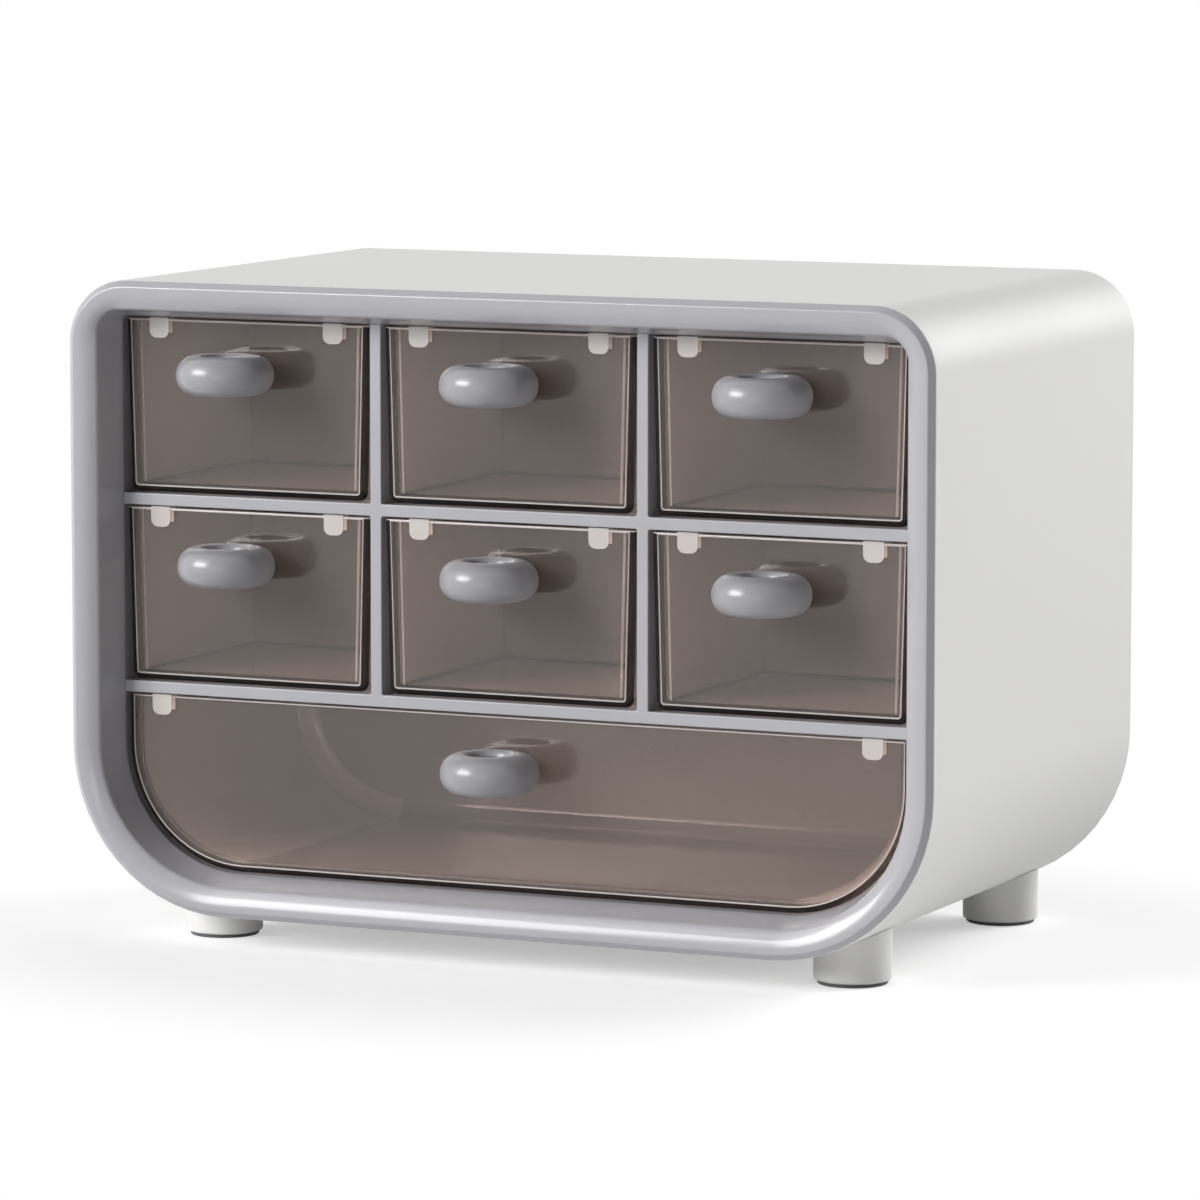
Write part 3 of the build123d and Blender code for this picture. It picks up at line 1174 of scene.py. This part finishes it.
SOFTBOXES = (
    Softbox("left_softbox", bearing=-40, rise=20, size=(2.2, 1.5), power=122),
    Softbox("low_softbox", bearing=8, rise=3, size=(1.6, 0.4), power=6),
    Softbox("upper_left_softbox", bearing=-45, rise=35, size=(2.0, 1.6), power=30),
    Softbox("right_softbox", bearing=145, rise=24, size=(2.4, 2.4), power=150),
)


@dataclass
class Studio:
    """A pale floor, soft lights and the camera at the photograph's angle."""

    image_pixels: float = 1200.0
    sensor: float = 36.0
    focal_pixels: float = 6580.0
    yaw: float = 0.43057
    pitch: float = 0.11861
    aside: float = 0.8872
    ahead: float = -1.8492
    above: float = 0.3627
    near_clip: float = 0.05
    far_clip: float = 60.0
    ambient: float = 0.03
    floor_half: float = 20.0
    floor_tone: float = 0.80
    aim_height: float = 0.1
    near_glow: float = 0.42
    glow_width: float = 0.75
    near_reach: float = 0.09
    far_reach: float = 0.23

    def camera(self) -> None:
        """Set the camera up before the shell's front lip."""
        data = bpy.data.cameras.new("camera")
        data.sensor_width = self.sensor
        data.lens = self.focal_pixels / self.image_pixels * self.sensor
        data.clip_start, data.clip_end = self.near_clip, self.far_clip
        camera = bpy.data.objects.new("camera", data)
        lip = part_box("outer_shell")[0].y
        camera.location = (self.aside, lip + self.ahead, self.above)
        camera.rotation_euler = (math.pi / 2 - self.pitch, 0, self.yaw)
        bpy.context.scene.collection.objects.link(camera)
        bpy.context.scene.camera = camera

    @staticmethod
    def seen(tree: bpy.types.ShaderNodeTree) -> bpy.types.NodeSocket:
        """Tell rays that show the background from rays that light the object.

        Args:
            tree: the nodes to add to.

        Returns:
            A socket that is one for camera, glossy and transmission rays.
        """
        path = tree.nodes.new("ShaderNodeLightPath")
        found = path.outputs["Is Camera Ray"]
        for name in ("Is Glossy Ray", "Is Transmission Ray"):
            either = tree.nodes.new("ShaderNodeMath")
            either.operation = "MAXIMUM"
            tree.links.new(found, either.inputs[0])
            tree.links.new(path.outputs[name], either.inputs[1])
            found = either.outputs[0]
        return found

    def world(self) -> None:
        """Make the world light plain, and white where it is seen."""
        world = bpy.data.worlds.new("studio")
        bpy.context.scene.world = world
        world.use_nodes = True
        tree = world.node_tree
        light = tree.nodes["Background"]
        light.inputs["Color"].default_value = PURE_WHITE
        light.inputs["Strength"].default_value = self.ambient
        white = tree.nodes.new("ShaderNodeBackground")
        white.inputs["Color"].default_value = PURE_WHITE
        mix = tree.nodes.new("ShaderNodeMixShader")
        tree.links.new(self.seen(tree), mix.inputs[0])
        tree.links.new(light.outputs[0], mix.inputs[1])
        tree.links.new(white.outputs[0], mix.inputs[2])
        tree.links.new(mix.outputs[0], tree.nodes["World Output"].inputs["Surface"])

    def floor_finish(self) -> bpy.types.Material:
        """Make the floor's finish, which turns from matte near the object to plain white.

        Returns:
            The new material.
        """
        made = bpy.data.materials.new("pale_floor")
        made.use_nodes = True
        tree = made.node_tree
        tree.nodes.remove(tree.nodes["Principled BSDF"])
        matte = tree.nodes.new("ShaderNodeBsdfDiffuse")
        matte.inputs["Color"].default_value = (self.floor_tone,) * 3 + (1,)
        glow = tree.nodes.new("ShaderNodeEmission")
        white = tree.nodes.new("ShaderNodeEmission")
        place = tree.nodes.new("ShaderNodeTexCoord")
        shape = tree.nodes.new("ShaderNodeVectorMath")
        shape.operation = "MULTIPLY"
        shape.inputs[1].default_value = (self.glow_width, 1, 1)
        distance = tree.nodes.new("ShaderNodeVectorMath")
        distance.operation = "LENGTH"
        fade = tree.nodes.new("ShaderNodeMapRange")
        fade.interpolation_type = "SMOOTHSTEP"
        fade.inputs["From Min"].default_value = self.near_reach
        fade.inputs["From Max"].default_value = self.far_reach
        seen = self.seen(tree)
        near = tree.nodes.new("ShaderNodeMath")
        near.operation = "MULTIPLY"
        near.inputs[1].default_value = self.near_glow
        far = tree.nodes.new("ShaderNodeMath")
        far.operation = "MULTIPLY"
        both = tree.nodes.new("ShaderNodeAddShader")
        mix = tree.nodes.new("ShaderNodeMixShader")
        for start, end in (
            (place.outputs["Object"], shape.inputs[0]),
            (shape.outputs["Vector"], distance.inputs[0]),
            (distance.outputs["Value"], fade.inputs["Value"]),
            (seen, near.inputs[0]),
            (near.outputs[0], glow.inputs["Strength"]),
            (seen, far.inputs[0]),
            (fade.outputs["Result"], far.inputs[1]),
            (matte.outputs[0], both.inputs[0]),
            (glow.outputs[0], both.inputs[1]),
            (far.outputs[0], mix.inputs[0]),
            (both.outputs[0], mix.inputs[1]),
            (white.outputs[0], mix.inputs[2]),
            (mix.outputs[0], tree.nodes["Material Output"].inputs["Surface"]),
        ):
            tree.links.new(start, end)
        return made

    def floor(self) -> None:
        """Lay a pale floor that keeps the object's shadow."""
        mesh = bmesh.new()
        bmesh.ops.create_grid(mesh, x_segments=1, y_segments=1, size=self.floor_half)
        data = bpy.data.meshes.new("floor")
        mesh.to_mesh(data)
        mesh.free()
        floor = bpy.data.objects.new("floor", data)
        bpy.context.scene.collection.objects.link(floor)
        data.materials.append(self.floor_finish())

    def build(self) -> None:
        """Set up the camera, the lights, the world and the floor."""
        bpy.context.scene.view_settings.view_transform = "Standard"
        self.camera()
        self.world()
        self.floor()
        for softbox in SOFTBOXES:
            softbox.hang(Vector((0, 0, self.aim_height)))


def main() -> None:
    """Build every piece of the organizer, then the studio."""
    logging.basicConfig(level=logging.INFO, format="%(message)s")
    dresser = Dresser()
    Body().build(dresser)
    Feet().build(dresser)
    Drawer().build(dresser)
    dresser.repaint("rear_panel_screws", Slot.STEEL)
    dresser.repaint("foot_screws", Slot.STEEL)
    Studio().build()


if __name__ == "__main__":
    main()
